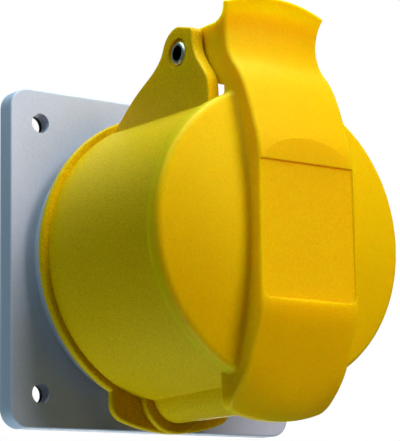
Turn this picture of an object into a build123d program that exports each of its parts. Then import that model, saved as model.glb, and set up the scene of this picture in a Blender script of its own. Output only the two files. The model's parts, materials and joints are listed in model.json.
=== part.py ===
"""Industrial panel socket, 32 A, two poles and earth, 110 V position, with a sprung lid.

Everything is in millimetres. X is to the right and Z is up for someone who faces the socket.
The origin is in the mounting face, on the socket's axis, and the front is towards -Y.
A "reach" is a distance in front of the mounting face, so Y is minus the reach.
"""
import os
from math import atan2, cos, degrees, hypot, pi, radians, sin, sqrt

from build123d import *

# Flange and its fixing to the panel
flange_side = 75.0
flange_thickness = 4.7
flange_corner_radius = 4.4
flange_edge_radius = 0.4
fixing_spacing = 60.0
fixing_hole_radius = 2.2
seat_ring_radius = 31.6
seat_ring_wall = 2.2
seat_ring_height = 5.1
rear_spigot_radius = 32.4
rear_spigot_wall = 2.0
rear_spigot_length = 8.0
panel_gasket_thickness = 1.5
panel_gasket_border = 1.5
gasket_clearance = 0.1

# Shroud: the yellow body, its collar and its keyway
mouth_radius = 29.0
bore_step = 0.3
mouth_overlap = 0.2
body_radius_rear = 32.0
body_radius_front = 31.2
body_reach = 48.5
collar_radius = 33.6
collar_thickness = 1.5
collar_edge_radius = 0.6
floor_thickness = 3.2
keyway_height = -29.6
keyway_radius = 4.5
keyway_wall = 2.0
lobe_half_width = 16.0
lobe_radius = 38.3
lobe_corner_radius = 4.0
key_boss_wall = 2.3
key_boss_length = 1.6
rim_chamfer = 0.5
shroud_spigot_clearance = 0.2
shroud_seal_thickness = 1.5
shroud_screw_circle_radius = 27.0
shroud_screw_count = 4

# Hinge
hinge_reach = 37.2
hinge_height = 40.4
hinge_pin_radius = 2.5
hinge_pin_wall = 0.9
hinge_pin_slit = 0.3
pin_running_clearance = 0.08
pin_press_clearance = 0.02
pin_recess_radius = 3.3
pin_recess_depth = 0.6
ear_thickness = 2.9
ear_edge_radius = 0.5
ear_crown_radius = 5.95
ear_root_depth = 8.0
ear_toe_depth = 4.2
ear_corner_radius = 1.5
knuckle_radius = 5.05
knuckle_side_clearance = 0.4
spring_pocket_width = 14.0
spring_pocket_radius = 6.4
spring_wire_radius = 0.55
spring_coil_radius = 4.2
spring_turns = 4
spring_pitch = 2.2

# Lid
lid_gap = 0.3
lid_radius = 31.65
lid_rim_radius = 1.8
dome_radius = 85.0
dome_reach = 58.4
lid_wall = 2.2
lid_gasket_outer_radius = 30.4
lid_gasket_width = 2.1
lid_gasket_thickness = 1.9
lid_gasket_compression_gap = 0.1
gasket_lip_width = 1.5

# Band across the lid, at the edges of its section; the crown stands out in the middle
band_half_width = 12.2
band_back_reach = 52.0
band_back_radius = 26.0
band_crown = 1.0
band_edge_radius = 0.75
band_root_radius = 1.0
band_edge_reach = 61.0
tab_half_width = 13.3
tab_flare = 0.2
tab_reach = 51.3
tab_rise = 7.9
tab_crown_rise = 2.3
tab_tip_radius = 0.5
hollow_reach = 50.1
hollow_rise = 1.6
brow_reach = 53.0
brow_drop = 5.2
shoulder_reach = 58.8
shoulder_height = 23.3
chin_reach = 59.0
chin_drop = 22.2
jaw_reach = 55.6
jaw_drop = 29.4
toe_reach = 50.4
toe_drop = 34.7
toe_run_out = 2.8
hood_reach = 47.1
hood_half_width = 12.9
hood_drop = 36.0
hood_sag = 2.5
hood_corner_radius = 3.0
hood_wall = 1.5
hood_depth = 2.6
arm_reach = 47.5
arm_face_reach = 49.5
arm_foot_height = 30.9

# Label panel: a sunk flat, under a lunette cut across the crown
panel_half_width = 11.9
panel_top = 13.3
panel_bottom = -14.7
panel_recess = 0.55
panel_corner_radius = 1.5
panel_wall_slope = 25.0
lunette_reach = 61.3
lunette_height = 24.0

# Contacts and what carries them
contact_circle_radius = 12.0
earth_pin_radius = 4.0
line_pin_radius = 3.0
sleeve_pin_clearance = 0.03
sleeve_wall = 1.2
sleeve_slit = 0.8
sleeve_length = 29.0
sleeve_recess = 3.0
spring_ring_wall = 0.5
spring_ring_width = 4.0
terminal_radius = 5.2
terminal_reach = -13.0
wire_hole_radius = 2.6
wire_hole_depth = 12.0
terminal_screw_radius = 2.0
terminal_screw_reach = -7.0
island_radius = 24.0
island_reach = 40.0
island_edge_radius = 1.0
carrier_spigot_radius = 19.0
fit_clearance = 0.15
finger_clearance = 0.9
pin_entry_clearance = 0.4
pin_entry_taper = 6.0
terminal_block_radius = 23.4
terminal_block_rear = -16.0
block_clearance = 0.8
clamp_screw_circle_radius = 15.0
clamp_screw_count = 3
clamp_screw_radius = 1.5
clamp_screw_head_radius = 2.8
clamp_screw_head_height = 2.0
plastic_screw_radius = 1.25
plastic_screw_head_radius = 2.5
plastic_screw_head_height = 1.8
screw_hole_clearance = 0.2
screw_access_radius = 2.6
clamp_screw_grip = 12.0
terminal_screw_length = 5.5
wire_guard_length = 6.0
wire_guard_thickness = 0.4
terminal_screw_slot = 0.8
shroud_leg_reach = 26.5
lid_leg_reach = 46.9
leg_clearance = 0.1
leg_slot_width = 2.4
leg_slot_reach = 49.0
leg_slot_height = 32.4
thread_clearance = 0.02

# Sizes that follow from the ones above
seat_ring_reach = flange_thickness + seat_ring_height
collar_reach = seat_ring_reach + collar_thickness
floor_reach = seat_ring_reach + floor_thickness
throat_radius = terminal_block_radius + block_clearance
shroud_spigot_radius = seat_ring_radius - seat_ring_wall - shroud_spigot_clearance
shroud_spigot_reach = flange_thickness + shroud_seal_thickness
bulge_radius = keyway_radius + keyway_wall
ear_inner = band_half_width + knuckle_side_clearance
ear_outer = ear_inner + ear_thickness
lid_rear_reach = body_reach + lid_gap
gasket_land_radius = seat_ring_radius + 1.6
carrier_seat_reach = seat_ring_reach
leg_drift = spring_pitch / (2 * pi * spring_coil_radius)
leg_place = spring_pitch * spring_turns / 2
shroud_leg_place = leg_place + leg_drift * (hinge_reach - shroud_leg_reach)
lid_leg_place = leg_place + leg_drift * (lid_leg_reach - hinge_reach)
leg_slot_place = (leg_place + lid_leg_place) / 2

# Sketch planes: a side view with (reach, height), a front view with (x, z) and a turning
# profile with (radius, reach) that is revolved about the socket's axis
side_view = Plane(origin=(0, 0, 0), x_dir=(0, -1, 0), z_dir=(-1, 0, 0))
front_view = Plane(origin=(0, 0, 0), x_dir=(1, 0, 0), z_dir=(0, -1, 0))
turning = Plane(origin=(0, 0, 0), x_dir=(1, 0, 0), z_dir=(0, 0, -1))
socket_axis = Axis((0, 0, 0), (0, -1, 0))

contacts = {"earth": (-30, earth_pin_radius), "line": (90, line_pin_radius), "neutral": (210, line_pin_radius)}
clamp_screw_angles = [30 + 360 / clamp_screw_count * n for n in range(clamp_screw_count)]
shroud_screw_angles = [45 + 360 / shroud_screw_count * n for n in range(shroud_screw_count)]


def polar(radius, angle):
    """A point of the front view at a radius and an angle from +X towards +Z."""
    return radius * cos(radians(angle)), radius * sin(radians(angle))


def contact_places():
    """The centres of the three contacts, in the front view."""
    return [polar(contact_circle_radius, angle) for angle, _ in contacts.values()]


def clamp_screw_places():
    """The centres of the screws that clamp the terminal block to the carrier."""
    return [polar(clamp_screw_circle_radius, angle) for angle in clamp_screw_angles]


def shroud_screw_places():
    """The centres of the screws that hold the shroud to the flange."""
    return [polar(shroud_screw_circle_radius, angle) for angle in shroud_screw_angles]


def body_radius(reach):
    """The radius of the shroud's tapered body at a reach."""
    share = (reach - collar_reach) / (body_reach - collar_reach)
    return body_radius_rear + (body_radius_front - body_radius_rear) * share


def tangent_leg(forward, drop):
    """Slope and length of a spring's leg that ends so far forward of and below the pin's axis."""
    length = sqrt(hypot(forward, drop) ** 2 - spring_coil_radius**2)
    slope = degrees(atan2(drop, forward) - atan2(spring_coil_radius, length))
    return slope, length


def save(part, name):
    """Label a finished piece and write its STEP file."""
    part.label = name
    export_step(part, f"parts/{name}.step")


os.makedirs("parts", exist_ok=True)

# Flange: a square plate with a raised seat for the shroud, and a spigot that fills the panel's cut-out
with BuildPart() as flange_plate:
    with BuildSketch(front_view):
        RectangleRounded(flange_side, flange_side, flange_corner_radius)
    extrude(amount=flange_thickness)
    fillet(flange_plate.faces().sort_by(Axis.Y)[0].edges(), flange_edge_radius)
    with BuildSketch(front_view.offset(flange_thickness)):
        Circle(seat_ring_radius)
    extrude(amount=seat_ring_height)
    with BuildSketch(front_view.offset(flange_thickness)):
        Circle(seat_ring_radius - seat_ring_wall)
    extrude(amount=seat_ring_height, mode=Mode.SUBTRACT)
    with BuildSketch(front_view):
        Circle(rear_spigot_radius)
        Circle(rear_spigot_radius - rear_spigot_wall, mode=Mode.SUBTRACT)
    extrude(amount=-rear_spigot_length)
    with BuildSketch(front_view):
        Circle(throat_radius)
    extrude(amount=flange_thickness, mode=Mode.SUBTRACT)
    with BuildSketch(front_view):
        Rectangle(flange_side - 2 * panel_gasket_border, flange_side - 2 * panel_gasket_border)
        Circle(gasket_land_radius, mode=Mode.SUBTRACT)
    extrude(amount=panel_gasket_thickness, mode=Mode.SUBTRACT)
    with BuildSketch(front_view):
        with GridLocations(fixing_spacing, fixing_spacing, 2, 2):
            Circle(fixing_hole_radius)
    extrude(amount=flange_thickness, mode=Mode.SUBTRACT)
    with BuildSketch(front_view):
        with Locations(*shroud_screw_places()):
            Circle(plastic_screw_radius + screw_hole_clearance)
    extrude(amount=flange_thickness, mode=Mode.SUBTRACT)
    with BuildSketch(front_view):
        with Locations(*shroud_screw_places()):
            Circle(plastic_screw_head_radius + screw_hole_clearance)
    extrude(amount=plastic_screw_head_height + screw_hole_clearance, mode=Mode.SUBTRACT)
save(flange_plate.part, "flange_plate")

# Gasket that lies in the flange's back, level with the mounting face
with BuildPart() as panel_gasket:
    with BuildSketch(front_view):
        side = flange_side - 2 * panel_gasket_border - 2 * gasket_clearance
        Rectangle(side, side)
        Circle(gasket_land_radius + gasket_clearance, mode=Mode.SUBTRACT)
        with GridLocations(fixing_spacing, fixing_spacing, 2, 2):
            Circle(fixing_hole_radius + screw_hole_clearance, mode=Mode.SUBTRACT)
    extrude(amount=panel_gasket_thickness)
save(panel_gasket.part, "panel_gasket")

# Flat seal between the flange and the shroud's spigot
with BuildPart() as shroud_seal:
    with BuildSketch(front_view.offset(flange_thickness)):
        Circle(shroud_spigot_radius)
        Circle(throat_radius, mode=Mode.SUBTRACT)
        with Locations(*shroud_screw_places()):
            Circle(plastic_screw_radius + screw_hole_clearance, mode=Mode.SUBTRACT)
    extrude(amount=shroud_seal_thickness)
save(shroud_seal.part, "shroud_seal")


# Shroud: one moulding with the body, collar, keyway rib, foot lobe and hinge ears
def ear_outline():
    """The side view of a hinge ear: an S-shaped back, a round crown and a front that bows to the rim."""
    root = (collar_reach - 1.0, body_radius_front - ear_root_depth)
    heel = (collar_reach - 0.3, hinge_height - 13.0)
    dip = (hinge_reach - 20.9, hinge_height - 8.9)
    saddle = (hinge_reach - 14.3, hinge_height - 4.6)
    nape = (hinge_reach - ear_crown_radius * 0.93, hinge_height + ear_crown_radius * 0.37)
    crown = (hinge_reach, hinge_height + ear_crown_radius)
    brow = (hinge_reach + 5.4, hinge_height + ear_crown_radius * 0.75)
    toe = (body_reach - 0.2, body_radius_front - ear_toe_depth)
    rise = brow[1] - toe[1]
    waist = (hinge_reach + 6.0, toe[1] + rise * 0.74)
    bend = (toe[0] - 1.2, toe[1] + rise * 0.4)
    with BuildLine() as outline:
        Line(root, heel)
        back = Spline(heel, dip, saddle, nape, tangents=((1, 0.8), (0.37, 0.93)))
        TangentArc(nape, crown, tangent=back % 1)
        Line(crown, brow)
        Spline(brow, waist, bend, toe, tangents=((0.2, -1), (0, -1)))
        Line(toe, (toe[0], root[1]))
        Line((toe[0], root[1]), root)
    return outline.edges()


with BuildPart() as hinge_ears:
    for start in (ear_inner, -ear_outer):
        with BuildSketch(side_view.offset(start)):
            make_face(ear_outline())
            brow = (hinge_reach + ear_crown_radius, hinge_height + ear_crown_radius)
            fillet(vertices().sort_by_distance(brow)[0], ear_corner_radius)
        extrude(amount=ear_thickness)
    fillet(hinge_ears.faces().filter_by(Axis.X).edges(), ear_edge_radius)

with BuildPart() as front_shroud:
    # Collar with its foot lobe, and the boss round the keyway
    with BuildSketch(front_view.offset(seat_ring_reach)):
        Circle(lobe_radius)
        with Locations((0, -lobe_radius)):
            Rectangle(2 * lobe_half_width, lobe_radius * 1.2, mode=Mode.INTERSECT)
        fillet(vertices().group_by(Axis.Y)[0], lobe_corner_radius)
        Circle(collar_radius)
    extrude(amount=collar_thickness)
    fillet(front_shroud.faces().sort_by(Axis.Y)[0].edges(), collar_edge_radius)
    with BuildSketch(front_view.offset(seat_ring_reach)):
        with Locations((0, keyway_height)):
            Circle(bulge_radius + key_boss_wall)
    extrude(amount=collar_thickness + key_boss_length)
    fillet(front_shroud.faces().sort_by(Axis.Y)[0].edges(), collar_edge_radius)
    # Tapered body, keyway rib and ears
    with BuildSketch(turning):
        with BuildLine():
            Polyline(
                (0, shroud_spigot_reach),
                (shroud_spigot_radius, shroud_spigot_reach),
                (shroud_spigot_radius, seat_ring_reach),
                (body_radius_rear, seat_ring_reach),
                (body_radius_rear, collar_reach),
                (body_radius_front, body_reach),
                (0, body_reach),
                close=True,
            )
        make_face()
    revolve(axis=Axis.Y)
    with BuildSketch(front_view.offset(seat_ring_reach)):
        with Locations((0, keyway_height)):
            Circle(bulge_radius)
    extrude(amount=body_reach - seat_ring_reach)
    add(hinge_ears.part)
    with BuildSketch(front_view.offset(floor_reach)):
        Circle(mouth_radius - bore_step)
        with Locations((0, keyway_height)):
            Circle(keyway_radius)
    extrude(amount=body_reach, mode=Mode.SUBTRACT)
    with BuildSketch(front_view.offset(island_reach + mouth_overlap)):
        Circle(mouth_radius)
    extrude(amount=body_reach, mode=Mode.SUBTRACT)
    chamfer(front_shroud.faces().sort_by(Axis.Y)[0].inner_wires()[0].edges(), rim_chamfer)
    with BuildSketch(front_view):
        Circle(throat_radius)
    extrude(amount=seat_ring_reach, mode=Mode.SUBTRACT)
    with BuildSketch(front_view):
        Circle(carrier_spigot_radius + fit_clearance)
    extrude(amount=body_reach, mode=Mode.SUBTRACT)
    with BuildSketch(front_view.offset(shroud_spigot_reach)):
        with Locations(*shroud_screw_places()):
            Circle(plastic_screw_radius + thread_clearance)
    extrude(amount=floor_reach - shroud_spigot_reach - 1.0, mode=Mode.SUBTRACT)
    with BuildSketch(side_view.offset(-ear_outer)):
        with Locations((hinge_reach, hinge_height)):
            Circle(hinge_pin_radius + pin_press_clearance)
    extrude(amount=2 * ear_outer, mode=Mode.SUBTRACT)
    for start in (-ear_outer, ear_outer - pin_recess_depth):
        with BuildSketch(side_view.offset(start)):
            with Locations((hinge_reach, hinge_height)):
                Circle(pin_recess_radius)
        extrude(amount=pin_recess_depth, mode=Mode.SUBTRACT)
save(front_shroud.part, "front_shroud")


# Lid: a shallow dome with a skirt, crossed by a crowned band that ends in a tab and in a hood
def band_section(crown, tab_lift, sag):
    """The band's side section. Its front stands out by the crown, its tab and hood by the lift and sag."""
    tab_height = hinge_height + tab_rise + tab_lift
    tab_front = (tab_reach + crown + tab_tip_radius, tab_height)
    tab_top = (tab_reach + crown, tab_height + tab_tip_radius * 0.8)
    tab_rear = (tab_reach + crown - tab_tip_radius, tab_height)
    hollow = (hollow_reach + crown, hinge_height + hollow_rise)
    brow = (brow_reach + crown, hinge_height - brow_drop)
    shoulder = (shoulder_reach + crown, shoulder_height)
    panel_head = (band_edge_reach + crown, panel_top)
    panel_foot = (band_edge_reach + crown, panel_bottom)
    chin = (chin_reach + crown, -chin_drop)
    jaw = (jaw_reach + crown, -jaw_drop)
    toe = (toe_reach + crown, -toe_drop - sag)
    hood_rear = (hood_reach, -toe_drop - toe_run_out - sag)
    throat = (arm_reach + (tab_rear[0] - arm_reach) * 0.6, arm_top + (tab_height - arm_top) * 0.3)
    with BuildLine() as section:
        concave = ThreePointArc(tab_front, hollow, brow)
        Spline(brow, shoulder, panel_head, tangents=(concave % 1, (0, -1)))
        Line(panel_head, panel_foot)
        Spline(panel_foot, chin, jaw, toe, hood_rear, tangents=((0, -1), (-1, -0.8)))
        Polyline(
            hood_rear,
            (hood_reach, -band_back_radius - 2.0),
            (band_back_reach, -band_back_radius),
            (band_back_reach, band_back_radius),
            (arm_face_reach, band_back_radius + 2.5),
            (arm_face_reach, arm_foot_height + 1.0),
            (arm_reach, arm_foot_height + 3.0),
            (arm_reach, arm_top),
        )
        ThreePointArc((arm_reach, arm_top), throat, tab_rear)
        ThreePointArc(tab_rear, tab_top, tab_front)
    return section.edges()


def dome_height(radius):
    """The reach of the dome's outer face at a radius: a sphere's cap."""
    return dome_reach - dome_radius + sqrt(dome_radius**2 - radius**2)


def on_band_front(edge):
    """Whether an edge lies on a side of the band's front, between the brow and the hood's rim."""
    middle = edge @ 0.5
    reach, height = -middle.Y, middle.Z
    at_side = abs(middle.X) > band_half_width - 0.3
    return at_side and height < hinge_height - brow_drop and reach > band_back_reach + 0.5


def on_band_root(edge):
    """Whether an edge is where a side of the band meets the dome."""
    middle = edge @ 0.5
    height = dome_height(hypot(middle.X, middle.Z))
    return band_half_width < abs(middle.X) < hood_half_width and abs(-middle.Y - height) < 0.1


def band_outline():
    """The band's outline in the front view: sides that widen to the hood and flare to the tab's corners."""
    top = hinge_height + 2 * tab_rise
    waist = hinge_height - 1.0
    corner = hinge_height + tab_rise + 0.6
    foot = -hood_drop
    with BuildLine() as outline:
        Line((hood_half_width, foot), (band_half_width, waist))
        ThreePointArc(
            (band_half_width, waist),
            (band_half_width + tab_flare, (waist + corner) / 2),
            (tab_half_width, corner),
        )
        Line((tab_half_width, corner), (tab_half_width, top))
        Line((tab_half_width, top), (0, top))
        mirror(about=Plane.YZ)
        ThreePointArc((-hood_half_width, foot), (0, foot - hood_sag), (hood_half_width, foot))
    return outline.edges()


arm_top = hinge_height + knuckle_radius
gasket_groove_depth = lid_gasket_thickness - lid_gap + lid_gasket_compression_gap
cavity_radius = lid_gasket_outer_radius - lid_gasket_width - gasket_lip_width
with BuildPart() as lid:
    with BuildSketch(side_view.offset(-tab_half_width)):
        make_face(band_section(0, 0, 0))
    with BuildSketch(side_view):
        make_face(band_section(band_crown, tab_crown_rise, hood_sag))
    with BuildSketch(side_view.offset(tab_half_width)):
        make_face(band_section(0, 0, 0))
    loft()
    with BuildSketch(front_view):
        make_face(band_outline())
        fillet(vertices().group_by(Axis.Y)[0], hood_corner_radius)
    extrude(amount=2 * body_reach, mode=Mode.INTERSECT)
    fillet(lid.edges().filter_by(on_band_front), band_edge_radius)
    # Label panel: a lunette cut flat across the crown, and a sunk flat below it
    with BuildSketch(front_view.offset(lunette_reach)):
        with Locations((0, (panel_top - 1.0 + lunette_height) / 2)):
            Rectangle(2 * tab_half_width, lunette_height - panel_top + 1.0)
    extrude(amount=band_crown + 2.0, mode=Mode.SUBTRACT)
    with BuildSketch(front_view.offset(lunette_reach - panel_recess)):
        with Locations((0, (panel_top + panel_bottom) / 2)):
            Rectangle(2 * panel_half_width, panel_top - panel_bottom)
        fillet(vertices().group_by(Axis.Y)[0], panel_corner_radius)
    extrude(amount=panel_recess + band_crown + 1.0, taper=-panel_wall_slope, mode=Mode.SUBTRACT)
    # Dome and skirt
    with BuildSketch(turning):
        with BuildLine():
            cap = RadiusArc((0, dome_reach), (lid_radius, dome_height(lid_radius)), dome_radius)
            Polyline(cap @ 1, (lid_radius, lid_rear_reach), (0, lid_rear_reach), cap @ 0)
        make_face()
        fillet(vertices().sort_by_distance((lid_radius, dome_reach))[0], lid_rim_radius)
    revolve(axis=Axis.Y)
    fillet(lid.edges().filter_by(on_band_root), band_root_radius)
    # Arm and knuckle
    with BuildSketch(side_view.offset(-band_half_width)):
        with Locations((hinge_reach, hinge_height)):
            Circle(knuckle_radius)
        with BuildLine():
            Polyline(
                (hinge_reach, arm_top),
                (arm_reach + 1.0, arm_top),
                (arm_face_reach + 0.5, arm_foot_height),
                (hinge_reach, hinge_height - knuckle_radius),
                close=True,
            )
        make_face()
    extrude(amount=2 * band_half_width)
    # Hollow behind the dome, the gasket's groove and the lip that holds it
    with BuildSketch(turning):
        with BuildLine():
            inner = RadiusArc(
                (0, dome_reach - lid_wall),
                (cavity_radius, dome_height(cavity_radius) - lid_wall),
                dome_radius,
            )
            Line(inner @ 1, (cavity_radius, lid_rear_reach))
            Line((cavity_radius, lid_rear_reach), (0, lid_rear_reach))
            Line((0, lid_rear_reach), (0, dome_reach - lid_wall))
        make_face()
    revolve(axis=Axis.Y, mode=Mode.SUBTRACT)
    with BuildSketch(front_view.offset(lid_rear_reach)):
        Circle(lid_gasket_outer_radius)
        Circle(lid_gasket_outer_radius - lid_gasket_width, mode=Mode.SUBTRACT)
    extrude(amount=gasket_groove_depth, mode=Mode.SUBTRACT)
    # Hood: hollow below the skirt, and clear of the body and its keyway rib
    with BuildSketch(front_view.offset(hood_reach)):
        with BuildLine():
            hood_side = hood_half_width - hood_wall
            hood_corner = hood_wall - hood_drop
            hood_floor = hood_corner - hood_sag
            ThreePointArc((-hood_side, hood_corner), (0, hood_floor), (hood_side, hood_corner))
            Polyline((hood_side, hood_corner), (hood_side, 0), (-hood_side, 0), (-hood_side, hood_corner))
        make_face()
        Circle(lid_radius, mode=Mode.SUBTRACT)
    extrude(amount=hood_depth, mode=Mode.SUBTRACT)
    with BuildSketch(front_view.offset(hood_reach)):
        Circle(lid_radius)
    extrude(amount=lid_rear_reach - hood_reach, mode=Mode.SUBTRACT)
    # Knuckle: bored for the pin, with a pocket for the spring and a slot for the spring's leg
    with BuildSketch(side_view.offset(-spring_pocket_width / 2)):
        with Locations((hinge_reach, hinge_height)):
            Circle(spring_pocket_radius)
        with Locations((hinge_reach, hinge_height - spring_pocket_radius)):
            Rectangle(2 * spring_pocket_radius, 2 * spring_pocket_radius)
    extrude(amount=spring_pocket_width, mode=Mode.SUBTRACT)
    with BuildSketch(side_view.offset(leg_slot_place - leg_slot_width / 2)):
        with BuildLine():
            Polyline(
                (hinge_reach, leg_slot_height),
                (leg_slot_reach, leg_slot_height),
                (leg_slot_reach, leg_slot_height + 2.6),
                (hinge_reach, leg_slot_height + 6.0),
                close=True,
            )
        make_face()
    extrude(amount=leg_slot_width, mode=Mode.SUBTRACT)
    with BuildSketch(side_view.offset(-band_half_width)):
        with Locations((hinge_reach, hinge_height)):
            Circle(hinge_pin_radius + pin_running_clearance)
    extrude(amount=2 * band_half_width, mode=Mode.SUBTRACT)
save(lid.part, "lid")

# Gasket that the lid presses on the shroud's rim
with BuildPart() as lid_gasket:
    with BuildSketch(front_view.offset(body_reach + lid_gasket_compression_gap)):
        Circle(lid_gasket_outer_radius - gasket_clearance)
        Circle(lid_gasket_outer_radius - lid_gasket_width + gasket_clearance, mode=Mode.SUBTRACT)
    extrude(amount=lid_gasket_thickness)
save(lid_gasket.part, "lid_gasket")

# Hinge pin: a slotted spring pin, pressed into the ears
with BuildPart() as hinge_pin:
    with BuildSketch(side_view.offset(-ear_outer)):
        with Locations((hinge_reach, hinge_height)):
            Circle(hinge_pin_radius)
            Circle(hinge_pin_radius - hinge_pin_wall, mode=Mode.SUBTRACT)
        with Locations((hinge_reach, hinge_height - hinge_pin_radius)):
            Rectangle(hinge_pin_slit, 2 * hinge_pin_radius, mode=Mode.SUBTRACT)
    extrude(amount=2 * ear_outer)
    chamfer(hinge_pin.edges().filter_by(GeomType.CIRCLE).sort_by(SortBy.RADIUS)[-2:], 0.3)
save(hinge_pin.part, "hinge_pin")

# Torsion spring round the pin: one leg lies on the shroud, the other pushes the lid shut
leg_body_radius = body_radius(shroud_leg_reach) + spring_wire_radius + leg_clearance
shroud_leg_drop = hinge_height - sqrt(leg_body_radius**2 - shroud_leg_place**2)
lid_leg_drop = hinge_height - leg_slot_height - spring_wire_radius - leg_clearance
shroud_leg_slope, shroud_leg_length = tangent_leg(hinge_reach - shroud_leg_reach, shroud_leg_drop)
lid_leg_slope, lid_leg_length = tangent_leg(lid_leg_reach - hinge_reach, lid_leg_drop)
spring_height = spring_pitch * (spring_turns - (shroud_leg_slope + lid_leg_slope) / 360)
coil_start = Plane(
    origin=(spring_height / 2, -hinge_reach, hinge_height),
    x_dir=(0, -sin(radians(shroud_leg_slope)), -cos(radians(shroud_leg_slope))),
    z_dir=(-1, 0, 0),
)
coil = coil_start * Helix(spring_pitch, spring_height, spring_coil_radius)
with BuildPart() as lid_spring:
    with BuildSketch(Plane(origin=coil @ 0, z_dir=coil % 0)):
        Circle(spring_wire_radius)
    sweep(path=coil, is_frenet=True)
    with BuildSketch(Plane(origin=coil @ 0, z_dir=coil % 0)):
        Circle(spring_wire_radius)
    extrude(amount=-shroud_leg_length)
    with BuildSketch(Plane(origin=coil @ 1, z_dir=coil % 1)):
        Circle(spring_wire_radius)
    extrude(amount=lid_leg_length)
save(lid_spring.part, "lid_spring")


# Contacts: slit sleeves with a spring ring, and a solid terminal at the back
def contact_sleeve(place, angle, pin_radius):
    """A sleeve that grips a pin of the given radius, with its terminal, wire hole and screw hole."""
    bore = pin_radius + sleeve_pin_clearance
    outer = bore + sleeve_wall
    mouth = island_reach - sleeve_recess
    with BuildPart() as sleeve:
        with BuildSketch(front_view.offset(carrier_seat_reach)):
            with Locations(place):
                Circle(outer)
        extrude(amount=mouth - carrier_seat_reach)
        with BuildSketch(front_view.offset(carrier_seat_reach)):
            with Locations(place):
                Circle(terminal_radius)
        extrude(amount=terminal_reach - carrier_seat_reach)
        with BuildSketch(front_view.offset(mouth)):
            with Locations(place):
                Circle(bore)
        extrude(amount=-sleeve_length, mode=Mode.SUBTRACT)
        with BuildSketch(front_view.offset(mouth)):
            with Locations(Location((place[0], place[1], 0), (0, 0, angle))):
                Rectangle(sleeve_slit, 4 * outer)
        extrude(amount=-sleeve_length * 0.55, mode=Mode.SUBTRACT)
        with BuildSketch(front_view.offset(terminal_reach)):
            with Locations(place):
                Circle(wire_hole_radius)
        extrude(amount=wire_hole_depth, mode=Mode.SUBTRACT)
        with BuildSketch(screw_plane(place, angle)):
            Circle(terminal_screw_radius)
        extrude(amount=2 * terminal_radius, mode=Mode.SUBTRACT)
    return sleeve.part


def screw_plane(place, angle):
    """A plane on a contact's axis at the terminal screw, facing away from the socket's axis."""
    outward = (cos(radians(angle)), 0, sin(radians(angle)))
    return Plane(origin=(place[0], -terminal_screw_reach, place[1]), z_dir=outward)


def spring_ring(place, pin_radius):
    """An open steel ring that squeezes the fingers of a sleeve."""
    inner = pin_radius + sleeve_pin_clearance + sleeve_wall + thread_clearance
    with BuildPart() as ring:
        with BuildSketch(front_view.offset(island_reach - sleeve_recess - spring_ring_width - 1.0)):
            with Locations(place):
                Circle(inner + spring_ring_wall)
                Circle(inner, mode=Mode.SUBTRACT)
            with Locations((place[0], place[1] + inner)):
                Rectangle(1.0, 2.0, mode=Mode.SUBTRACT)
        extrude(amount=spring_ring_width)
    return ring.part


for name, (angle, pin_radius) in contacts.items():
    place = polar(contact_circle_radius, angle)
    save(contact_sleeve(place, angle, pin_radius), f"{name}_sleeve")
    save(spring_ring(place, pin_radius), f"{name}_spring_ring")

# Contact carrier: the island that the plug's shroud closes round
with BuildPart() as contact_carrier:
    with BuildSketch(front_view.offset(floor_reach)):
        Circle(island_radius)
    extrude(amount=island_reach - floor_reach)
    fillet(contact_carrier.faces().sort_by(Axis.Y)[0].edges(), island_edge_radius)
    with BuildSketch(front_view.offset(carrier_seat_reach)):
        Circle(carrier_spigot_radius)
    extrude(amount=floor_thickness)
    for name, (angle, pin_radius) in contacts.items():
        sleeve_radius = pin_radius + sleeve_pin_clearance + sleeve_wall
        with BuildSketch(front_view.offset(carrier_seat_reach)):
            with Locations(polar(contact_circle_radius, angle)):
                Circle(sleeve_radius + fit_clearance)
        extrude(amount=floor_thickness, mode=Mode.SUBTRACT)
        with BuildSketch(front_view.offset(floor_reach)):
            with Locations(polar(contact_circle_radius, angle)):
                Circle(sleeve_radius + finger_clearance)
        extrude(amount=island_reach - floor_reach - sleeve_recess + fit_clearance, mode=Mode.SUBTRACT)
        with BuildSketch(front_view.offset(island_reach)):
            with Locations(polar(contact_circle_radius, angle)):
                Circle(pin_radius + 2 * pin_entry_clearance)
        extrude(amount=-sleeve_recess, taper=pin_entry_taper, mode=Mode.SUBTRACT)
    with BuildSketch(front_view.offset(carrier_seat_reach)):
        with Locations(*clamp_screw_places()):
            Circle(clamp_screw_radius + thread_clearance)
    extrude(amount=clamp_screw_grip, mode=Mode.SUBTRACT)
save(contact_carrier.part, "contact_carrier")

# Terminal block: holds the terminals behind the shroud's floor
with BuildPart() as terminal_block:
    with BuildSketch(front_view.offset(terminal_block_rear)):
        Circle(terminal_block_radius)
    extrude(amount=carrier_seat_reach - terminal_block_rear)
    with BuildSketch(front_view.offset(carrier_seat_reach)):
        with Locations(*contact_places()):
            Circle(terminal_radius + fit_clearance)
    extrude(amount=terminal_reach - carrier_seat_reach - fit_clearance, mode=Mode.SUBTRACT)
    with BuildSketch(front_view.offset(terminal_block_rear)):
        with Locations(*contact_places()):
            Circle(wire_hole_radius + pin_entry_clearance)
    extrude(amount=terminal_reach - terminal_block_rear, mode=Mode.SUBTRACT)
    for angle, _ in contacts.values():
        with BuildSketch(screw_plane(polar(contact_circle_radius, angle), angle)):
            Circle(screw_access_radius)
        extrude(amount=terminal_block_radius, mode=Mode.SUBTRACT)
    with BuildSketch(front_view.offset(terminal_block_rear)):
        with Locations(*clamp_screw_places()):
            Circle(clamp_screw_radius + screw_hole_clearance)
    extrude(amount=carrier_seat_reach - terminal_block_rear, mode=Mode.SUBTRACT)
    with BuildSketch(front_view.offset(terminal_block_rear)):
        with Locations(*clamp_screw_places()):
            Circle(clamp_screw_head_radius + screw_hole_clearance)
    extrude(amount=clamp_screw_head_height + screw_hole_clearance, mode=Mode.SUBTRACT)
save(terminal_block.part, "terminal_block")


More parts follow.
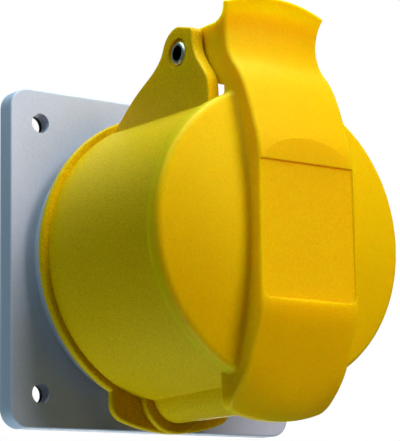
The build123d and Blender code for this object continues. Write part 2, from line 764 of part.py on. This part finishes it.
# Screws
def pan_screw(places, seat_reach, shank_radius, head_radius, head_height, length):
    """Identical pan-head screws with a cross slot, driven from behind, their heads on a seat."""
    with BuildPart() as screws:
        with BuildSketch(front_view.offset(seat_reach)):
            with Locations(*places):
                Circle(head_radius)
        extrude(amount=-head_height)
        with BuildSketch(front_view.offset(seat_reach)):
            with Locations(*places):
                Circle(shank_radius)
        extrude(amount=length)
        with BuildSketch(front_view.offset(seat_reach - head_height)):
            with Locations(*places):
                Rectangle(head_radius * 1.2, head_radius * 0.25)
                Rectangle(head_radius * 0.25, head_radius * 1.2)
        extrude(amount=head_height * 0.6, mode=Mode.SUBTRACT)
    return screws.part


save(
    pan_screw(
        shroud_screw_places(),
        plastic_screw_head_height + screw_hole_clearance,
        plastic_screw_radius,
        plastic_screw_head_radius,
        plastic_screw_head_height,
        floor_reach - plastic_screw_head_height - 1.5,
    ),
    "shroud_screws",
)
save(
    pan_screw(
        clamp_screw_places(),
        terminal_block_rear + clamp_screw_head_height + screw_hole_clearance,
        clamp_screw_radius,
        clamp_screw_head_radius,
        clamp_screw_head_height,
        carrier_seat_reach + clamp_screw_grip - terminal_block_rear - clamp_screw_head_height - 1.0,
    ),
    "clamp_screws",
)

# Wire guards: thin bent leaves that keep the screw's tip off the strands
with BuildPart() as wire_guards:
    for angle, _ in contacts.values():
        x, z = polar(contact_circle_radius, angle)
        guard_start = terminal_screw_reach - wire_guard_length / 2
        with BuildSketch(front_view.offset(guard_start)):
            with Locations(Location((x, z, 0), (0, 0, angle))):
                Circle(wire_hole_radius - thread_clearance)
                Circle(wire_hole_radius - wire_guard_thickness, mode=Mode.SUBTRACT)
                with Locations((-wire_hole_radius, 0)):
                    Rectangle(3 * wire_hole_radius, 2 * wire_hole_radius, mode=Mode.SUBTRACT)
        extrude(amount=wire_guard_length)
save(wire_guards.part, "wire_guards")

with BuildPart() as terminal_screws:
    for angle, _ in contacts.values():
        plane = screw_plane(polar(contact_circle_radius, angle), angle).offset(wire_hole_radius)
        with BuildSketch(plane):
            Circle(terminal_screw_radius - thread_clearance)
        extrude(amount=terminal_screw_length)
        with BuildSketch(plane.offset(terminal_screw_length)):
            Rectangle(2 * terminal_screw_radius, terminal_screw_slot)
        extrude(amount=-1.2, mode=Mode.SUBTRACT)
save(terminal_screws.part, "terminal_screws")
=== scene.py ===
"""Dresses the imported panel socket: plastics, metals and rubber, the wound spring, and a light stage.

Everything is in metres, in the CAD model's frame: the mounting face is the plane Y = 0, the socket's
axis is the Y axis, the front is towards -Y and Z is up.
"""

import json
import math

import bpy
import numpy as np
from bpy.props import FloatProperty, FloatVectorProperty, IntProperty, PointerProperty
from mathutils import Matrix, Vector


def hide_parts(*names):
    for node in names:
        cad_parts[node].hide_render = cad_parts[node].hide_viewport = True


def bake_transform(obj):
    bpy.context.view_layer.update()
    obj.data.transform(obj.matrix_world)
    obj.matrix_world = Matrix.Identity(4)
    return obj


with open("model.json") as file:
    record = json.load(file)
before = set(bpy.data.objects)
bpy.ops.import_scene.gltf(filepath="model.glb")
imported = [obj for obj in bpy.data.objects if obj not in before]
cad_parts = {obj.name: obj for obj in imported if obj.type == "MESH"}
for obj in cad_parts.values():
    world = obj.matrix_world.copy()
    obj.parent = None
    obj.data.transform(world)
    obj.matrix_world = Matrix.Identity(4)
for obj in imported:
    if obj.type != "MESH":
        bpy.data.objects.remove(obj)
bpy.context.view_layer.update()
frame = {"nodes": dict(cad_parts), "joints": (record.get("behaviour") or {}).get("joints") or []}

bl_info = {
    "name": "Panel socket dresser",
    "version": (1, 0, 0),
    "blender": (4, 5, 0),
    "location": "3D View > Sidebar > Socket",
    "description": "Finishes, spring and stage for a round panel socket with a sprung lid",
    "category": "Object",
}

# Place of the middle of the hinge pin
HINGE = next(joint["pos_m"] for joint in frame["joints"] if joint["name"] == "lid_hinge")

# CAD nodes by finish. For each yellow one: how coarse its grain is, and how much light goes into it
YELLOW_NODES = {"front_shroud": (3.0, 0.2), "lid": (1.2, 0.8)}
GREY_NODES = ("flange_plate",)
BLACK_NODES = ("contact_carrier", "terminal_block")
RUBBER_NODES = ("panel_gasket", "shroud_seal", "lid_gasket")
BRASS_NODES = ("earth_sleeve", "line_sleeve", "neutral_sleeve")
PIN_NODES = ("hinge_pin",)
SPRING_STEEL_NODES = ("earth_spring_ring", "line_spring_ring", "neutral_spring_ring", "wire_guards")
SCREW_NODES = ("shroud_screws", "clamp_screws", "terminal_screws")

WHITE = (1.0, 1.0, 1.0)

# Plastic. The waves of a noise are counted per metre, and a tone turns into the next one between two
# edges, which are values of the noise. The grain takes the roughness up and down by its swing. The grey
# and the black drift to a tone that is so many times as light. Light that goes into the plastic spreads
# by the glow's depth, times its radius for red, green and blue
PLASTIC_EDGES = (0.3, 0.7)
PLASTIC_IOR = 1.5
PLASTIC_ROUGHNESS = 0.5
CARRIER_ROUGHNESS = 0.45
GRAIN_DETAIL = 1.5
GRAIN_SWING = 0.07
DRIFT_WAVES = 38.0
DRIFT_DETAIL = 3.0
GREY_DRIFT = 1.1
BLACK_DRIFT = 1.6
YELLOW_GLOSS = 0.25
YELLOW_SHEEN = (1.0, 0.75, 0.0)
GLOW_RADIUS = (1.0, 0.6, 0.1)
GLOW_DEPTH = 0.005

# Bare metal: its darker and its lighter tone, and its middle roughness
TURNED_BRASS = ((0.72, 0.52, 0.24), (0.80, 0.62, 0.32), 0.3)
SPRING_STEEL = ((0.30, 0.30, 0.31), (0.42, 0.42, 0.42), 0.35)
ZINC_PLATE = ((0.62, 0.62, 0.60), (0.74, 0.74, 0.71), 0.3)
MARK_WAVES = 900.0
MARK_DETAIL = 3.0
MARK_EDGES = (0.25, 0.75)
MARK_SMOOTHER = 0.08
MARK_ROUGHER = 0.1
MARK_DEPTH = 0.000006

# Steel of the pin: its tone in the bore, a near black that is painted shade, and outside it, a pale yellow
# that is a painted reflection of the yellow plastic; and the shares of the bore's radius between which one
# turns into the other
PIN_SHADE_AND_REFLECTION_TONES = ((0.02, 0.02, 0.02), (0.85, 0.83, 0.66))
PIN_BORE_EDGES = (1.02, 1.12)
PIN_ROUGHNESS = 0.42

# Rubber
RUBBER_TONES = ((0.012, 0.012, 0.013), (0.03, 0.03, 0.031))
RUBBER_EDGES = (0.35, 0.75)
RUBBER_ROUGHNESS = (0.62, 0.82)
BLOOM_WAVES = 260.0
BLOOM_DETAIL = 4.0
BLOOM_DEPTH = 0.00002

# Camera: the sensor is in millimetres, as the lens is
SENSOR_WIDTH = 36.0
CLIP_START = 0.01

# Floor: its tones are the one that other rays meet and the one that the camera sees
FLOOR_DROP = 0.25
FLOOR_HALF = 1.5
FLOOR_TONES = ((0.06, 0.06, 0.06), (0.8, 0.8, 0.8))
FLOOR_GLOW = 0.62
FLOOR_ROUGHNESS = 0.8

# Lights: the point that they face, how far the one from below stands over the floor, and for each its
# middle, the side of its square, and the settings of its power and its colour
LIT_POINT = (0.0, -0.03, 0.0)
UNDER_LIGHT_LIFT = 0.01
LIGHTS = {
    "key_light": ((0.14, -0.57, 0.30), 0.35, "key_power", "key_tint"),
    "top_light": ((0.02, -0.02, 0.45), 0.35, "top_power", "cool_tint"),
    "side_light": ((-0.11, -0.04, 0.12), 0.05, "side_power", "cool_tint"),
    "under_light": ((-0.09, 0.02, UNDER_LIGHT_LIFT - FLOOR_DROP), 0.12, "under_power", "cool_tint"),
    "rear_light": ((0.22, 0.45, 0.02), 0.30, "rear_power", "key_tint"),
}

# The spring's mesh: steps in each turn of the coil, steps along each leg, and sides round the wire
COIL_STEPS = 40
LEG_STEPS = 8
WIRE_SIDES = 16


# Settings


def colour_setting(name, description, default):
    """A colour that the user can change."""
    return FloatVectorProperty(
        name=name, description=description, subtype="COLOR", size=3, min=0.0, max=1.0, default=default
    )


def length_setting(name, description, default):
    """A length in metres that the user can change."""
    return FloatProperty(name=name, description=description, unit="LENGTH", default=default)


def angle_setting(name, description, default):
    """An angle in radians that the user can change."""
    return FloatProperty(name=name, description=description, subtype="ANGLE", default=default)


def power_setting(name, description, default):
    """The power in watts of a light, which the user can change."""
    return FloatProperty(name=name, description=description, subtype="POWER", default=default)


class SocketPlasticSettings(bpy.types.PropertyGroup):
    """Colours and grain of the mouldings."""

    yellow: colour_setting("Yellow", "Colour of the shroud and the lid", (0.90, 0.51, 0.0))
    amber: colour_setting("Amber", "Deeper tone that the yellow drifts to", (0.87, 0.48, 0.0))
    grey: colour_setting("Grey", "Colour of the flange", (0.475, 0.49, 0.59))
    black: colour_setting("Black", "Colour of the carrier and the terminal block", (0.018, 0.018, 0.02))
    grain: FloatProperty(
        name="Grain", description="Size of the spark-eroded grain", subtype="DISTANCE", unit="LENGTH",
        min=0.0001, max=0.002, default=0.00035, precision=5,
    )
    grain_depth: FloatProperty(
        name="Grain depth", description="Height of the grain", subtype="DISTANCE", unit="LENGTH",
        min=0.0, max=0.0002, default=0.00003, precision=6,
    )
    fleck: FloatProperty(
        name="Fleck", description="How much darker the hollows of the grain are",
        min=0.0, max=0.5, default=0.10,
    )


class SocketSpringSettings(bpy.types.PropertyGroup):
    """Place and bore of the hinge pin, and sizes of the torsion spring round it, as in the CAD model."""

    pin_reach: length_setting("Pin reach", "Distance of the pin from the mounting face", -HINGE[1])
    pin_height: length_setting("Pin height", "Height of the pin above the socket's axis", HINGE[2])
    pin_bore: length_setting("Pin bore", "Radius of the pin's bore", 0.0016)
    coil_radius: length_setting("Coil radius", "Radius to the wire's middle", 0.0042)
    wire_radius: length_setting("Wire radius", "Radius of the wire", 0.00055)
    pitch: length_setting("Pitch", "Width of one turn", 0.0022)
    turns: IntProperty(name="Turns", description="Turns of the coil", min=1, default=4)
    shroud_leg_slope: angle_setting("Shroud leg slope", "Fall of the leg on the shroud", math.radians(20.6))
    lid_leg_slope: angle_setting("Lid leg slope", "Fall of the leg in the lid", math.radians(17.0))
    shroud_leg: length_setting("Shroud leg", "Length of the leg on the shroud", 0.0130)
    lid_leg: length_setting("Lid leg", "Length of the leg in the lid", 0.0114)


class SocketStageSettings(bpy.types.PropertyGroup):
    """Camera, lights and floor."""

    target: FloatVectorProperty(
        name="Target", description="Point that the camera looks at", subtype="XYZ", unit="LENGTH", size=3,
        default=(0.013097, -0.0047, 0.012144),
    )
    distance: length_setting("Distance", "From the camera to its target", 0.4375)
    azimuth: angle_setting("Azimuth", "Turn of the camera round the socket", math.radians(-35.7))
    elevation: angle_setting("Elevation", "Height of the camera above its target", math.radians(-10.77))
    roll: angle_setting("Roll", "Turn about the line of sight", -0.018)
    lens: FloatProperty(name="Lens", description="Focal length", subtype="DISTANCE_CAMERA", default=153.1)
    key_power: power_setting("Key", "Power of the main soft light", 4.2)
    top_power: power_setting("Top", "Power of the light overhead", 2.9)
    side_power: power_setting("Side", "Power of the small light near the hinge", 0.075)
    under_power: power_setting("Under", "Power of the light from below", 0.5)
    rear_power: power_setting("Rear", "Power of the light behind the panel", 2.5)
    key_tint: colour_setting("Key tint", "Colour of the main and the rear light", (1.0, 0.967, 0.95))
    cool_tint: colour_setting("Cool tint", "Colour of the other lights and the sky", (0.62, 0.92, 1.0))
    sky: FloatProperty(name="Sky", description="Strength of the light from all round", default=0.03)
    floor_drop: length_setting("Floor drop", "Floor below the socket's axis", FLOOR_DROP)


# Materials


def node_tree(name):
    """A new material, its tree and its one Principled shader."""
    material = bpy.data.materials.new(name)
    material.use_nodes = True
    tree = material.node_tree
    return material, tree, tree.nodes["Principled BSDF"]


def noise(tree, waves, detail):
    """Noise on the object's own coordinates, with so many waves per metre."""
    coordinates = tree.nodes.new("ShaderNodeTexCoord")
    texture = tree.nodes.new("ShaderNodeTexNoise")
    texture.inputs["Scale"].default_value = waves
    texture.inputs["Detail"].default_value = detail
    tree.links.new(coordinates.outputs["Object"], texture.inputs["Vector"])
    return texture.outputs["Fac"]


def ramp(tree, value, edges, tones):
    """A colour that turns from the first tone to the second between two edges of a value."""
    node = tree.nodes.new("ShaderNodeValToRGB")
    for element, edge, tone in zip(node.color_ramp.elements, edges, tones):
        element.position = edge
        element.color = (*tone, 1.0)
    tree.links.new(value, node.inputs["Fac"])
    return node.outputs["Color"]


def spread(tree, value, low, high):
    """The value from 0..1 spread over low..high."""
    node = tree.nodes.new("ShaderNodeMapRange")
    node.inputs["To Min"].default_value = low
    node.inputs["To Max"].default_value = high
    tree.links.new(value, node.inputs["Value"])
    return node.outputs["Result"]


def bump(tree, shader, height, depth):
    """Bump the shader's surface by a height from 0..1 times a depth in metres."""
    node = tree.nodes.new("ShaderNodeBump")
    node.inputs["Strength"].default_value = 1.0
    node.inputs["Distance"].default_value = depth
    tree.links.new(height, node.inputs["Height"])
    tree.links.new(node.outputs["Normal"], shader.inputs["Normal"])


def moulded_plastic(name, tones, rough, settings, coarse=1.0, glow=0.0, gloss=0.5, sheen_tint=WHITE):
    """Satin moulded plastic that drifts slowly between two tones, with a spark-eroded grain.

    The grain darkens its hollows, changes the gloss and bumps the surface. coarse multiplies its flecks
    and its depth, and glow is the share of the light that goes in and comes out again nearby.
    """
    material, tree, shader = node_tree(name)
    grain = noise(tree, 1.0 / settings.grain, GRAIN_DETAIL)
    drift = noise(tree, DRIFT_WAVES, DRIFT_DETAIL)
    hollow = 1.0 - settings.fleck * coarse
    speckled = tree.nodes.new("ShaderNodeMixRGB")
    speckled.blend_type = "MULTIPLY"
    speckled.inputs["Fac"].default_value = 1.0
    tree.links.new(ramp(tree, drift, PLASTIC_EDGES, tones), speckled.inputs["Color1"])
    tree.links.new(ramp(tree, grain, PLASTIC_EDGES, ((hollow,) * 3, WHITE)), speckled.inputs["Color2"])
    tree.links.new(speckled.outputs["Color"], shader.inputs["Base Color"])
    tree.links.new(spread(tree, grain, rough - GRAIN_SWING, rough + GRAIN_SWING), shader.inputs["Roughness"])
    bump(tree, shader, grain, settings.grain_depth * coarse)
    shader.inputs["IOR"].default_value = PLASTIC_IOR
    shader.inputs["Subsurface Weight"].default_value = glow
    shader.inputs["Subsurface Radius"].default_value = GLOW_RADIUS
    shader.inputs["Subsurface Scale"].default_value = GLOW_DEPTH
    shader.inputs["Specular IOR Level"].default_value = gloss
    shader.inputs["Specular Tint"].default_value = (*sheen_tint, 1.0)
    return material


def tool_marks(tree, shader, rough):
    """Make the shader bare metal with fine tool marks in its gloss and bump, and return the marks."""
    marks = noise(tree, MARK_WAVES, MARK_DETAIL)
    gloss = spread(tree, marks, rough - MARK_SMOOTHER, rough + MARK_ROUGHER)
    tree.links.new(gloss, shader.inputs["Roughness"])
    bump(tree, shader, marks, MARK_DEPTH)
    shader.inputs["Metallic"].default_value = 1.0
    return marks


def worked_metal(name, darker, lighter, rough):
    """Bare metal whose fine tool marks turn from the darker tone to the lighter one."""
    material, tree, shader = node_tree(name)
    marks = tool_marks(tree, shader, rough)
    tree.links.new(ramp(tree, marks, MARK_EDGES, (darker, lighter)), shader.inputs["Base Color"])
    return material


def pin_steel(size):
    """Steel with painted shade in the pin's bore and a pale yellow painted reflection outside it.

    The tone follows the distance from the pin's axis, which is the length of the object's coordinates less
    the pin's place, without their part along the pin.
    """
    material, tree, shader = node_tree("pin_steel")
    tool_marks(tree, shader, PIN_ROUGHNESS)
    coordinates = tree.nodes.new("ShaderNodeTexCoord")
    offset = tree.nodes.new("ShaderNodeVectorMath")
    offset.operation = "SUBTRACT"
    offset.inputs[1].default_value = (0.0, -size.pin_reach, size.pin_height)
    across = tree.nodes.new("ShaderNodeVectorMath")
    across.operation = "MULTIPLY"
    across.inputs[1].default_value = (0.0, 1.0, 1.0)
    distance = tree.nodes.new("ShaderNodeVectorMath")
    distance.operation = "LENGTH"
    outside = tree.nodes.new("ShaderNodeMapRange")
    outside.inputs["From Min"].default_value = PIN_BORE_EDGES[0] * size.pin_bore
    outside.inputs["From Max"].default_value = PIN_BORE_EDGES[1] * size.pin_bore
    tree.links.new(coordinates.outputs["Object"], offset.inputs[0])
    tree.links.new(offset.outputs["Vector"], across.inputs[0])
    tree.links.new(across.outputs["Vector"], distance.inputs[0])
    tree.links.new(distance.outputs["Value"], outside.inputs["Value"])
    # near black in the bore is painted shade, pale yellow outside it is a painted reflection of the yellow
    # plastic
    tone = ramp(tree, outside.outputs["Result"], (0.0, 1.0), PIN_SHADE_AND_REFLECTION_TONES)
    tree.links.new(tone, shader.inputs["Base Color"])
    return material


def seal_rubber():
    """Dull black rubber with a faint bloom."""
    material, tree, shader = node_tree("seal_rubber")
    bloom = noise(tree, BLOOM_WAVES, BLOOM_DETAIL)
    tree.links.new(ramp(tree, bloom, RUBBER_EDGES, RUBBER_TONES), shader.inputs["Base Color"])
    tree.links.new(spread(tree, bloom, *RUBBER_ROUGHNESS), shader.inputs["Roughness"])
    bump(tree, shader, bloom, BLOOM_DEPTH)
    return material


def dress(nodes, material):
    """Give CAD nodes one material."""
    for name in nodes:
        for slot in frame["nodes"][name].material_slots:
            slot.material = material


# Shapes


def spring_path(size, width):
    """Points along the middle of the spring's wire: a helix round the pin with a straight leg at each end.

    At an angle counted from straight under the pin towards the front, the coil lies the coil radius times
    the sine in front of the pin's axis and the coil radius times the cosine under it. Each turn takes it
    by the pitch along the pin, from +X to -X. The angle starts at the slope of the shroud's leg. Both legs
    run straight on from the coil's ends along its tangent: the shroud's leg falls to the rear, the lid's
    leg falls to the front.
    """
    angle = np.linspace(0.0, 2.0 * math.pi * width / size.pitch, COIL_STEPS * size.turns)
    turned = size.shroud_leg_slope + angle
    coil = np.stack(
        [
            width / 2.0 - size.pitch * angle / (2.0 * math.pi),
            -(size.pin_reach + size.coil_radius * np.sin(turned)),
            size.pin_height - size.coil_radius * np.cos(turned),
        ],
        axis=-1,
    )
    tangent = np.stack(
        [
            np.full_like(turned, -size.pitch / (2.0 * math.pi)),
            -size.coil_radius * np.cos(turned),
            size.coil_radius * np.sin(turned),
        ],
        axis=-1,
    )
    tangent /= np.linalg.norm(tangent, axis=1, keepdims=True)
    share = np.linspace(1.0, 0.0, LEG_STEPS, endpoint=False)[:, None]
    shroud_leg = coil[0] - share * size.shroud_leg * tangent[0]
    lid_leg = coil[-1] + share[::-1] * size.lid_leg * tangent[-1]
    return np.vstack([shroud_leg, coil, lid_leg])


def tube(path, radius, sides):
    """A closed round tube: rings of the radius round each point of the path.

    Each ring lies square to the path, in the two directions given by the pin's axis less its part
    along the path, and by the cross product of the path's direction with that. The path's first and
    last points close the two ends.
    """
    along = np.gradient(path, axis=0)
    along /= np.linalg.norm(along, axis=1, keepdims=True)
    pin = np.array([1.0, 0.0, 0.0])
    side = pin - along * (along @ pin)[:, None]
    side /= np.linalg.norm(side, axis=1, keepdims=True)
    up = np.cross(along, side)
    turn = np.linspace(0.0, 2.0 * np.pi, sides, endpoint=False)
    rings = path[:, None, :] + radius * (
        np.cos(turn)[None, :, None] * side[:, None, :] + np.sin(turn)[None, :, None] * up[:, None, :]
    )
    count = len(path)
    points = np.vstack([rings.reshape(-1, 3), path[:1], path[-1:]])
    ring, step = np.meshgrid(np.arange(count - 1), np.arange(sides), indexing="ij")
    after = (step + 1) % sides
    quads = np.stack(
        [ring * sides + step, ring * sides + after, (ring + 1) * sides + after, (ring + 1) * sides + step],
        axis=-1,
    ).reshape(-1, 4)
    here = np.arange(sides)
    there = (here + 1) % sides
    start = np.stack([there, here, np.full(sides, count * sides)], axis=-1)
    last = (count - 1) * sides
    end = np.stack([last + here, last + there, np.full(sides, count * sides + 1)], axis=-1)
    return points, quads.tolist() + start.tolist() + end.tolist()


def new_piece(name, points, faces, material, smooth=True):
    """A mesh object at the origin, from points and the indices of each face's corners."""
    mesh = bpy.data.meshes.new(name)
    mesh.from_pydata(points.tolist(), [], faces)
    mesh.update()
    if smooth:
        mesh.shade_smooth()
    else:
        mesh.shade_flat()
    mesh.materials.append(material)
    piece = bpy.data.objects.new(name, mesh)
    bpy.context.scene.collection.objects.link(piece)
    return piece


# Camera, lights and surround


def photo_camera(stage):
    """A camera that looks at the target from its azimuth, elevation and distance, turned by its roll."""
    azimuth, elevation, roll = stage.azimuth, stage.elevation, stage.roll
    back = Vector(
        (
            math.sin(azimuth) * math.cos(elevation),
            -math.cos(azimuth) * math.cos(elevation),
            math.sin(elevation),
        )
    )
    level = Vector((math.cos(azimuth), math.sin(azimuth), 0.0))
    upright = back.cross(level)
    right = level * math.cos(roll) + upright * math.sin(roll)
    up = upright * math.cos(roll) - level * math.sin(roll)
    lens = bpy.data.cameras.new("photo_camera")
    lens.lens = stage.lens
    lens.sensor_width = SENSOR_WIDTH
    lens.clip_start = CLIP_START
    camera = bpy.data.objects.new("photo_camera", lens)
    bpy.context.scene.collection.objects.link(camera)
    turned = Matrix((right, up, back)).transposed().to_4x4()
    camera.matrix_world = Matrix.Translation(Vector(stage.target) + back * stage.distance) @ turned
    return camera


def soft_light(name, middle, side, power, tint):
    """A square soft light that shines on the socket and isn't seen itself."""
    lamp = bpy.data.lights.new(name, "AREA")
    lamp.shape = "SQUARE"
    lamp.size = side
    lamp.energy = power
    lamp.color = tint
    holder = bpy.data.objects.new(name, lamp)
    bpy.context.scene.collection.objects.link(holder)
    holder.location = middle
    holder.rotation_mode = "QUATERNION"
    holder.rotation_quaternion = (Vector(LIT_POINT) - Vector(middle)).to_track_quat("-Z", "Y")
    holder.visible_camera = False


def white_surround(stage):
    """A world that the camera sees as white and that lights the socket with a faint cool sky."""
    world = bpy.data.worlds.new("white_surround")
    world.use_nodes = True
    tree = world.node_tree
    sky = tree.nodes["Background"]
    sky.inputs["Color"].default_value = (*stage.cool_tint, 1.0)
    sky.inputs["Strength"].default_value = stage.sky
    white = tree.nodes.new("ShaderNodeBackground")
    white.inputs["Color"].default_value = (*WHITE, 1.0)
    rays = tree.nodes.new("ShaderNodeLightPath")
    mix = tree.nodes.new("ShaderNodeMixShader")
    tree.links.new(rays.outputs["Is Camera Ray"], mix.inputs["Fac"])
    tree.links.new(sky.outputs["Background"], mix.inputs[1])
    tree.links.new(white.outputs["Background"], mix.inputs[2])
    tree.links.new(mix.outputs["Shader"], tree.nodes["World Output"].inputs["Surface"])
    return world


def floor_finish():
    """A floor that the camera sees pale, and that throws little light back on the socket."""
    material, tree, shader = node_tree("pale_floor")
    seen = tree.nodes.new("ShaderNodeLightPath").outputs["Is Camera Ray"]
    tree.links.new(ramp(tree, seen, (0.0, 1.0), FLOOR_TONES), shader.inputs["Base Color"])
    shader.inputs["Emission Color"].default_value = (*WHITE, 1.0)
    tree.links.new(spread(tree, seen, 0.0, FLOOR_GLOW), shader.inputs["Emission Strength"])
    shader.inputs["Roughness"].default_value = FLOOR_ROUGHNESS
    return material


# Operators


class SocketDressMouldings(bpy.types.Operator):
    """Give the mouldings, seals and metal parts their finishes"""

    bl_idname = "socket.dress_mouldings"
    bl_label = "Finishes"

    def execute(self, context):
        plastic = context.scene.socket_plastic
        for node, (coarse, glow) in YELLOW_NODES.items():
            tones = (plastic.yellow, plastic.amber)
            yellow = moulded_plastic(
                f"{node}_yellow", tones, PLASTIC_ROUGHNESS, plastic, coarse, glow, YELLOW_GLOSS, YELLOW_SHEEN
            )
            dress((node,), yellow)
        pale_grey = tuple(min(1.0, part * GREY_DRIFT) for part in plastic.grey)
        grey = moulded_plastic("flange_grey", (plastic.grey, pale_grey), PLASTIC_ROUGHNESS, plastic)
        dress(GREY_NODES, grey)
        soft_black = tuple(part * BLACK_DRIFT for part in plastic.black)
        black = moulded_plastic("carrier_black", (plastic.black, soft_black), CARRIER_ROUGHNESS, plastic)
        dress(BLACK_NODES, black)
        dress(RUBBER_NODES, seal_rubber())
        dress(BRASS_NODES, worked_metal("turned_brass", *TURNED_BRASS))
        dress(PIN_NODES, pin_steel(context.scene.socket_spring))
        dress(SPRING_STEEL_NODES, worked_metal("spring_steel", *SPRING_STEEL))
        dress(SCREW_NODES, worked_metal("zinc_plate", *ZINC_PLATE))
        return {"FINISHED"}


class SocketWindSpring(bpy.types.Operator):
    """Wind the torsion spring that shuts the lid, in place of the CAD model's spring"""

    bl_idname = "socket.wind_spring"
    bl_label = "Spring"

    def execute(self, context):
        size = context.scene.socket_spring
        # the coil is as wide as its turns, which end short of a full one by the slopes of both legs
        slopes = size.shroud_leg_slope + size.lid_leg_slope
        width = size.pitch * (size.turns - slopes / (2.0 * math.pi))
        points, faces = tube(spring_path(size, width), size.wire_radius, WIRE_SIDES)
        steel = bpy.data.materials["spring_steel"]
        spring = new_piece("torsion_spring", points, faces, steel)
        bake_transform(spring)
        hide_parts("lid_spring")
        return {"FINISHED"}


class SocketMakeStage(bpy.types.Operator):
    """Set the camera, the soft lights, the white surround and the pale floor"""

    bl_idname = "socket.make_stage"
    bl_label = "Stage"

    def execute(self, context):
        stage = context.scene.socket_stage
        context.scene.camera = photo_camera(stage)
        for name, (middle, side, power, tint) in LIGHTS.items():
            soft_light(name, middle, side, getattr(stage, power), getattr(stage, tint))
        context.scene.world = white_surround(stage)
        context.scene.view_settings.view_transform = "Standard"
        signs = ((-1.0, -1.0), (1.0, -1.0), (1.0, 1.0), (-1.0, 1.0))
        corners = np.array([(FLOOR_HALF * x, FLOOR_HALF * y, -stage.floor_drop) for x, y in signs])
        floor = new_piece("pale_floor", corners, [(0, 1, 2, 3)], floor_finish(), smooth=False)
        return {"FINISHED"}


class SocketPanel(bpy.types.Panel):
    """Settings and steps that dress the socket"""

    bl_idname = "VIEW3D_PT_socket"
    bl_label = "Socket"
    bl_space_type = "VIEW_3D"
    bl_region_type = "UI"
    bl_category = "Socket"

    def draw(self, context):
        for group, settings in SETTINGS.items():
            for name in settings.__annotations__:
                self.layout.prop(getattr(context.scene, group), name)
        for operator in OPERATORS:
            self.layout.operator(operator.bl_idname)


SETTINGS = {
    "socket_plastic": SocketPlasticSettings,
    "socket_spring": SocketSpringSettings,
    "socket_stage": SocketStageSettings,
}
OPERATORS = (SocketDressMouldings, SocketWindSpring, SocketMakeStage)


def register():
    """Register the settings, the operators and the panel."""
    for name, settings in SETTINGS.items():
        bpy.utils.register_class(settings)
        setattr(bpy.types.Scene, name, PointerProperty(type=settings))
    for operator in OPERATORS:
        bpy.utils.register_class(operator)
    bpy.utils.register_class(SocketPanel)


def unregister():
    """Undo register."""
    bpy.utils.unregister_class(SocketPanel)
    for operator in reversed(OPERATORS):
        bpy.utils.unregister_class(operator)
    for name, settings in reversed(SETTINGS.items()):
        delattr(bpy.types.Scene, name)
        bpy.utils.unregister_class(settings)


def main():
    """Dress the socket step by step."""
    register()
    bpy.ops.socket.dress_mouldings()
    bpy.ops.socket.wind_spring()
    bpy.ops.socket.make_stage()


if __name__ == "__main__":
    main()
